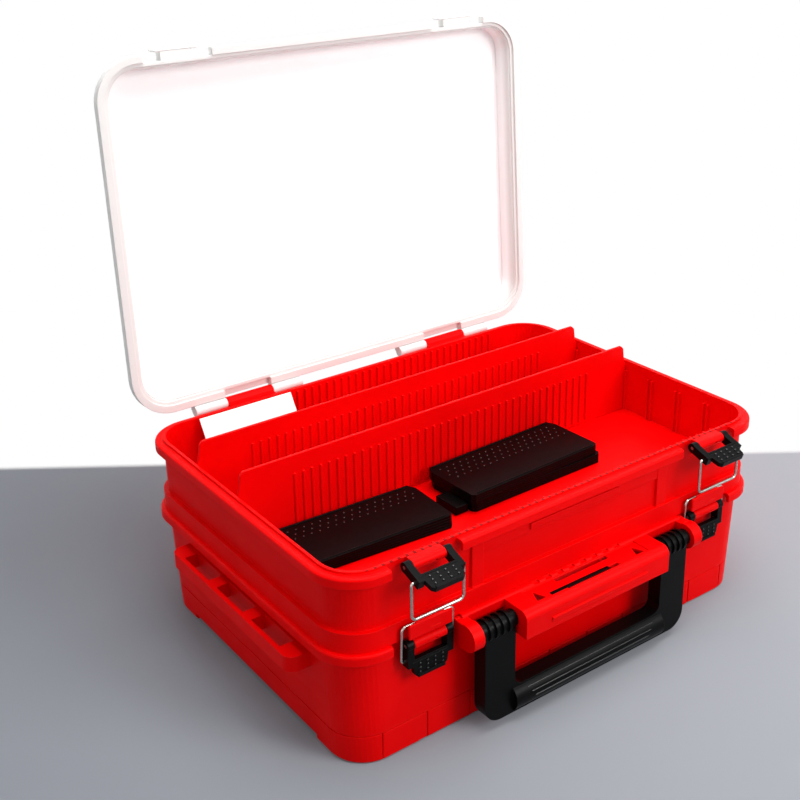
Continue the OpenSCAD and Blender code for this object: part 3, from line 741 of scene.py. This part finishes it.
@dataclass
class DividedTray(SubAssembly):
    """The hinged tray with its dividers and what lies in it."""
    rib_n: int = 40
    rib_pitch: float = 8.4
    cap: tuple[float, float, float] = (1.8, 2.3, 2.4)   # as wide as a rib
    cap_bevel: float = 0.3
    cap_y: float = 147.5
    cap_z: float = 167.6        # the caps end under the crest's top
    plate_l: float = 150.0
    plate_w: float = 63.0
    stud_r: float = 0.75
    stud_h: float = 0.5
    stud_tip: float = 0.5       # as a share of the foot's radius
    stud_sink: float = 0.1
    stud_n: int = 18
    stud_pitch: float = 7.6
    stud_shift: float = -1.5    # of every row, along the plate
    stud_edge: float = 9.0      # from the plate's rear edge to the first row
    row_pitch: float = 6.4
    edge_rib_end: float = 6.0   # from the plate's end to the rib's
    edge_rib: tuple[float, float] = (1.2, 0.7)
    edge_rib_bevel: float = 0.25
    edge_rib_in: float = 2.0    # from the plate's edge
    edge_rib_z: float = 0.3
    tab: tuple[float, float, float] = (13.0, 27.0, 7.6)
    tab_bevel: float = 0.6
    tab_at: tuple[float, float, float] = (-41.0, -47.0, 122.4)
    tab_turn: float = 1.0

    def build(self) -> None:
        """Dresses the tray, its pins, the dividers and the card."""
        self.dress("tray", RED_POLYPROPYLENE)
        for side in ("left", "right"):
            self.dress(f"lid_hinge_pin_{side}", PIN_STEEL)
            self.dress(f"cross_dividers_{side}", BLACK_STYRENE)
        for place in ("rear", "front"):
            self.dress(f"{place}_divider", RED_POLYPROPYLENE)
        self.dress("blank_card", CARD)
        self.rib_caps()
        CatchFaces(self.rack).build("tray_catch_faces", "tray", RED_POLYPROPYLENE, "red_plastic", 0.0, None)
        for plate in PLATE_TOPS:
            self.plate_trim(plate)
        self.stack_tab()

    def rib_caps(self) -> None:
        """Caps the small guide ribs inside the front wall."""
        bench = self.bench()
        caps = bench.block("tray_front_rib_caps", self.cap, self.cap_bevel)
        bench.repeat(caps, self.rib_n, (self.rib_pitch, 0, 0))
        bench.place(caps, (-(self.rib_n - 1) / 2 * self.rib_pitch, -self.cap_y, self.cap_z))
        bench.hand_over(caps, "tray", RED_POLYPROPYLENE, "red_plastic")

    def plate_trim(self, plate: PlateTop) -> None:
        """Sets the studs and the edge ribs on the top plate of a pile of cross dividers.

        Args:
            plate: how that plate lies.
        """
        bench = self.bench()
        end = plate.side.name.lower()
        at, turn = (*plate.middle, plate.top), (0, 0, plate.turn_deg)
        lines = []
        for row in range(plate.stud_rows):
            stud = bench.stud(f"plate_studs_{end}", self.stud_r, self.stud_h, self.stud_tip)
            bench.repeat(stud, self.stud_n, (self.stud_pitch, 0, 0))
            stagger = self.stud_pitch / 2 * (row % 2)
            bench.place(stud, (-(self.stud_n - 1) / 2 * self.stud_pitch + stagger + self.stud_shift,
                               self.plate_w / 2 - self.stud_edge - row * self.row_pitch,
                               self.stud_h / 2 - self.stud_sink))
            lines.append(stud)
        studs = bench.join(lines)
        bench.place(studs, at, turn)
        bench.hand_over(studs, f"cross_dividers_{end}", STYRENE_STUD_HIGHLIGHT, "black_plastic")
        ribs = []
        for edge in (-1, 1):
            rib = bench.block(f"plate_edge_ribs_{end}", (self.plate_l - 2 * self.edge_rib_end, *self.edge_rib),
                              self.edge_rib_bevel)
            bench.place(rib, (0, edge * (self.plate_w / 2 - self.edge_rib_in), self.edge_rib_z))
            ribs.append(rib)
        joined = bench.join(ribs)
        bench.place(joined, at, turn)
        bench.hand_over(joined, f"cross_dividers_{end}", BLACK_STYRENE, "black_plastic")

    def stack_tab(self) -> None:
        """Makes the tab that stands out of the right pile's lower plates towards the left pile."""
        bench = self.bench()
        tab = bench.block("stack_tab_right", self.tab, self.tab_bevel)
        bench.place(tab, self.tab_at, (0, 0, self.tab_turn))
        bench.hand_over(tab, "cross_dividers_right", BLACK_STYRENE, "black_plastic")


@dataclass
class MilkyLid(SubAssembly):
    """The milky lid, standing open."""
    bead_w: float = 435.9
    bead_d: float = 295.9
    bead_r: float = 27.8
    bead_t: float = 1.2
    bead_z: float = 171.2       # with the lid closed
    catch_rise: float = 66.0    # from the lower rim to the tray's
    catch_back: float = 0.5     # behind the solid's face, so that the lid gets no longer

    def build(self) -> None:
        """Dresses the lid and lays a bead along its inner step, darker than the lid as painted shade of the step."""
        self.dress("lid", MILKY_POLYPROPYLENE)
        bench = self.bench()
        pose = LidPose()
        bead = bench.ring("lid_step_bead", self.bead_w, self.bead_d, self.bead_r, self.bead_t, self.bead_t)
        bench.place(bead, (0, 0, self.bead_z))
        bench.swing(bead, pose)
        bench.hand_over(bead, "lid", MILKY_PAINTED_SHADE, "milky_plastic")
        CatchFaces(self.rack).build("lid_catch_faces", "lid", MILKY_PAINTED_SHADE, "milky_plastic", self.catch_rise, pose,
                                    self.catch_back)


@dataclass
class CarryHandle(SubAssembly):
    """The folding handle."""
    grip_y: float = -168.0
    grip_z: float = 21.0
    grip_r: float = 11.9
    line_r: float = 0.6
    line_l: float = 140.0
    line_deg: tuple[float, ...] = (62.0, 40.0, 18.0, -4.0)
    line_cut: float = 0.3       # mm shorter for each degree away from the second line

    def build(self) -> None:
        """Dresses the handle and lays the raised lines along its grip."""
        self.dress("carry_handle", BLACK_NYLON)
        bench = self.bench()
        lines = []
        for angle in self.line_deg:
            length = self.line_l - self.line_cut * abs(angle - self.line_deg[1])
            line = bench.bar("grip_lines", self.line_r, length)
            bench.place(line, (0, self.grip_y - self.grip_r * math.cos(math.radians(angle)),
                               self.grip_z + self.grip_r * math.sin(math.radians(angle))))
            lines.append(line)
        bench.hand_over(bench.join(lines), "carry_handle", POLISHED_NYLON, "black_plastic")


@dataclass
class BailLatch(SubAssembly):
    """One wire-bail latch: lever, bail and pin."""
    tier: Tier = Tier.LOWER
    side: Side = Side.LEFT
    pivot_y: float = -157.0
    lower_z: float = 98.5
    upper_z: float = 164.5
    open_deg: float = 70.0
    face_y: float = 4.1         # from the pivot to the studs' tops
    first_row: float = 16.1
    row_pitch: float = 3.6
    stud_rows: int = 3
    stud_n: int = 4
    stud_pitch: float = 7.0
    tip_r: float = 0.72
    tip_h: float = 0.3
    tip_top: float = 0.45       # as a share of the foot's radius
    tip_sink: float = 0.05

    def build(self) -> None:
        """Dresses the latch's pieces."""
        end = self.side.name.lower()
        self.dress(f"{self.tier.value}_lever_{end}", BLACK_NYLON)
        self.dress(f"{self.tier.value}_bail_{end}", BAIL_WIRE)
        self.dress(f"{self.tier.value}_latch_pin_{end}", PIN_STEEL)
        self.stud_tips(end)

    def stud_tips(self, end: str) -> None:
        """Rounds the studs on the lever's face with lighter tips, a painted highlight.

        Args:
            end: which side of the case the latch is on.
        """
        bench = self.bench()
        lines = []
        for row in range(self.stud_rows):
            tip = bench.stud(f"{self.tier.value}_lever_stud_tips_{end}", self.tip_r, self.tip_h,
                             self.tip_top)
            bench.place(tip, (0, 0, 0), (90, 0, 0))
            bench.repeat(tip, self.stud_n, (self.stud_pitch, 0, 0))
            bench.place(tip, (-(self.stud_n - 1) / 2 * self.stud_pitch,
                              -self.face_y - self.tip_h / 2 + self.tip_sink,
                              -self.first_row - row * self.row_pitch))
            lines.append(tip)
        tips = bench.join(lines)
        pivot_z, angle = (self.upper_z, -self.open_deg) if self.tier is Tier.UPPER else (self.lower_z, 0.0)
        bench.place(tips, (self.side.value * LATCH_X, self.pivot_y, pivot_z), (angle, 0, 0))
        bench.hand_over(tips, f"{self.tier.value}_lever_{end}", NYLON_TIP_HIGHLIGHT, "black_plastic")


# ---------------------------------------------------------------- studio

EDGE_REACH_M = 0.01        # a corner of the sweep lies on an edge within this


@dataclass(frozen=True)
class SoftBox:
    """A round soft lamp that is turned to the case."""
    name: str
    place_m: tuple[float, float, float]
    size_m: float
    power_w: float


SOFT_BOXES = (SoftBox("top_softbox", (0.1, -0.3, 2.2), 1.8, 46.0),
              SoftBox("front_softbox", (1.0, -2.0, 1.3), 1.2, 36.0),
              SoftBox("left_softbox", (-2.2, -0.6, 1.0), 1.2, 4.0))


@dataclass
class Studio:
    """The floor, the backdrop, the lamps and the camera."""
    size_m: float = 6.0
    wall_m: float = 0.62        # from the origin to the backdrop, along the view
    sweep_m: float = 0.12       # how large the bend between floor and backdrop is
    sweep_steps: int = 16
    white_from_m: float = 0.25  # from the origin to where the floor's paint turns white
    white_edge_m: float = 0.012
    far_white_m: tuple[float, float] = (0.95, 1.7)  # from the origin to where the floor fades out, all round
    tone_half_m: float = 0.45   # from the middle to where the floor's painted shade on the left and painted light on the right are full
    # painted shade on the floor's left, painted light on its right
    floor_shaded_left: str = "#85888f"
    floor_lit_right: str = "#9c9ea4"
    ambient: float = 0.42       # the strength of the white surroundings as light
    aim_m: tuple[float, float, float] = (0.0, 0.0, 0.15)    # where the lamps point
    view_yaw: float = 35.35     # degrees from +Y towards +X
    view_pitch: float = -19.67
    view_roll: float = -1.24
    eye_mm: tuple[float, float, float] = (-610.47, -763.43, 636.82)
    focal_px: float = 1219.8
    centre_px: tuple[float, float] = (388.36, 296.03)
    frame_px: float = 800.0
    clip_m: tuple[float, float] = (0.05, 30.0)

    def build(self) -> None:
        """Makes the whole studio."""
        self.sweep()
        self.world()
        self.lamps()
        self.camera()

    def sweep(self) -> None:
        """Makes a pale floor that sweeps up into a white backdrop behind the case."""
        bpy.ops.object.select_all(action="DESELECT")
        bpy.ops.mesh.primitive_plane_add(size=2 * self.size_m, location=(0, self.wall_m - self.size_m, 0))
        floor = bpy.context.object
        floor.name = "studio_sweep"
        back = self.size_m - EDGE_REACH_M
        bpy.ops.object.mode_set(mode="EDIT")
        choose(floor, "edges", lambda edge: all(v.co.y > back for v in edge.verts))
        bpy.ops.mesh.extrude_edges_move(TRANSFORM_OT_translate={"value": (0, 0, self.size_m)})
        choose(floor, "edges", lambda edge: all(v.co.y > back and v.co.z < EDGE_REACH_M for v in edge.verts))
        bpy.ops.mesh.bevel(offset=self.sweep_m, segments=self.sweep_steps)
        bpy.ops.object.mode_set(mode="OBJECT")
        floor.rotation_euler = (0, 0, -math.radians(self.view_yaw))
        floor.location = Matrix.Rotation(-math.radians(self.view_yaw), 3, "Z") @ floor.location
        bpy.ops.object.transform_apply(location=True, rotation=True, scale=True)
        bpy.ops.object.shade_smooth()
        floor.data.materials.append(self.sweep_finish())

    def sweep_finish(self) -> bpy.types.Material:
        """Makes the matt floor and backdrop paint, with painted shade to the left and painted light to the right, which
        can't be seen from behind.

        Returns:
            The material.
        """
        mat, tree = new_material("matt_studio_paint")
        coords = add_node(tree, "TexCoord")
        yaw = math.radians(self.view_yaw)
        away = add_node(tree, "VectorMath", settings={"operation": "DOT_PRODUCT"},
                        values={1: (math.sin(yaw), math.cos(yaw), 0.0)}, links={0: (coords, "Object")})
        across = add_node(tree, "VectorMath", settings={"operation": "DOT_PRODUCT"},
                          values={1: (math.cos(yaw), -math.sin(yaw), 0.0)}, links={0: (coords, "Object")})
        behind = add_node(tree, "MapRange", settings={"interpolation_type": "SMOOTHSTEP"},
                          values={"From Min": self.white_from_m, "From Max": self.white_from_m + self.white_edge_m},
                          links={"Value": (away, "Value")})
        flat = add_node(tree, "VectorMath", settings={"operation": "MULTIPLY"}, values={1: (1.0, 1.0, 0.0)},
                        links={0: (coords, "Object")})
        reach = add_node(tree, "VectorMath", settings={"operation": "LENGTH"}, links={0: (flat, "Vector")})
        far = add_node(tree, "MapRange", settings={"interpolation_type": "SMOOTHSTEP"},
                       values={"From Min": self.far_white_m[0], "From Max": self.far_white_m[1]},
                       links={"Value": (reach, "Value")})
        white = add_node(tree, "Math", settings={"operation": "MAXIMUM"},
                         links={0: (behind, "Result"), 1: (far, "Result")})
        # the floor's left-to-right gradient is painted shade and light
        shade = add_node(tree, "MapRange", settings={"interpolation_type": "SMOOTHSTEP"},
                         values={"From Min": -self.tone_half_m, "From Max": self.tone_half_m},
                         links={"Value": (across, "Value")})
        painted_floor_light = add_node(tree, "Mix", settings={"data_type": "RGBA"},
                              values={"A": linear(self.floor_shaded_left), "B": linear(self.floor_lit_right)},
                              links={"Factor": (shade, "Result")})
        tone = add_node(tree, "Mix", settings={"data_type": "RGBA"}, values={"B": linear("#ffffff")},
                        links={"Factor": (white, "Value"), "A": (painted_floor_light, "Result")})
        paint = add_node(tree, "BsdfDiffuse", links={"Color": (tone, "Result")})
        glow = add_node(tree, "Emission", values={"Strength": 1.0}, links={"Color": (tone, "Result")})
        share = add_node(tree, "Math", settings={"operation": "MULTIPLY"},
                         links={0: (seen_plainly(tree), "Value"), 1: (white, "Value")})
        lit = add_node(tree, "MixShader", links={"Fac": (share, "Value"), 1: (paint, "BSDF"), 2: (glow, "Emission")})
        geometry = add_node(tree, "NewGeometry")
        clear = add_node(tree, "BsdfTransparent")
        both = add_node(tree, "MixShader", links={"Fac": (geometry, "Backfacing"), 1: (lit, "Shader"),
                                                  2: (clear, "BSDF")})
        add_node(tree, "OutputMaterial", links={"Surface": (both, "Shader")})
        return mat

    def world(self) -> None:
        """Makes the plain white surroundings."""
        world = bpy.data.worlds.new("studio_world")
        bpy.context.scene.world = world
        world.use_nodes = True
        tree = world.node_tree
        tree.nodes.clear()
        strength = add_node(tree, "MapRange", values={"To Min": self.ambient, "To Max": 1.0},
                            links={"Value": (seen_plainly(tree), "Value")})
        sky = add_node(tree, "Background", values={"Color": (1, 1, 1, 1)}, links={"Strength": (strength, "Result")})
        add_node(tree, "OutputWorld", links={"Surface": (sky, "Background")})

    def lamps(self) -> None:
        """Hangs three soft boxes: over the case, at its front right and at its front left."""
        for box in SOFT_BOXES:
            data = bpy.data.lights.new(box.name, "AREA")
            data.energy, data.size, data.shape = box.power_w, box.size_m, "DISK"
            lamp = bpy.data.objects.new(box.name, data)
            bpy.context.scene.collection.objects.link(lamp)
            lamp.location = box.place_m
            aim = Vector(self.aim_m) - Vector(box.place_m)
            lamp.rotation_euler = aim.to_track_quat("-Z", "Y").to_euler()

    def camera(self) -> None:
        """Places the camera that the photograph was fitted with."""
        yaw, pitch, roll = (math.radians(a) for a in (self.view_yaw, self.view_pitch, self.view_roll))
        ahead = Vector((math.sin(yaw) * math.cos(pitch), math.cos(yaw) * math.cos(pitch), math.sin(pitch)))
        right = Vector((math.cos(yaw), -math.sin(yaw), 0))
        up = right.cross(ahead)
        x_axis = right * math.cos(roll) + up * math.sin(roll)
        y_axis = up * math.cos(roll) - right * math.sin(roll)
        data = bpy.data.cameras.new("studio_camera")
        camera = bpy.data.objects.new("studio_camera", data)
        bpy.context.scene.collection.objects.link(camera)
        turn = Matrix((x_axis, y_axis, -ahead)).transposed().to_4x4()
        camera.matrix_world = Matrix.Translation(Vector(self.eye_mm) * MM) @ turn
        data.lens = self.focal_px / self.frame_px * data.sensor_width
        data.shift_x = (self.frame_px / 2 - self.centre_px[0]) / self.frame_px
        data.shift_y = (self.centre_px[1] - self.frame_px / 2) / self.frame_px
        data.clip_start, data.clip_end = self.clip_m
        bpy.context.scene.camera = camera


def main() -> None:
    """Builds the case's looks and the studio in order."""
    logging.basicConfig(level=logging.INFO, format="%(name)s: %(message)s")
    bpy.context.scene.view_settings.view_transform = "Standard"
    rack = FinishRack()
    LowerCase(rack).build()
    DividedTray(rack).build()
    MilkyLid(rack).build()
    CarryHandle(rack).build()
    for tier in Tier:
        for side in Side:
            BailLatch(rack, tier, side).build()
    Studio().build()


if __name__ == "__main__":
    main()
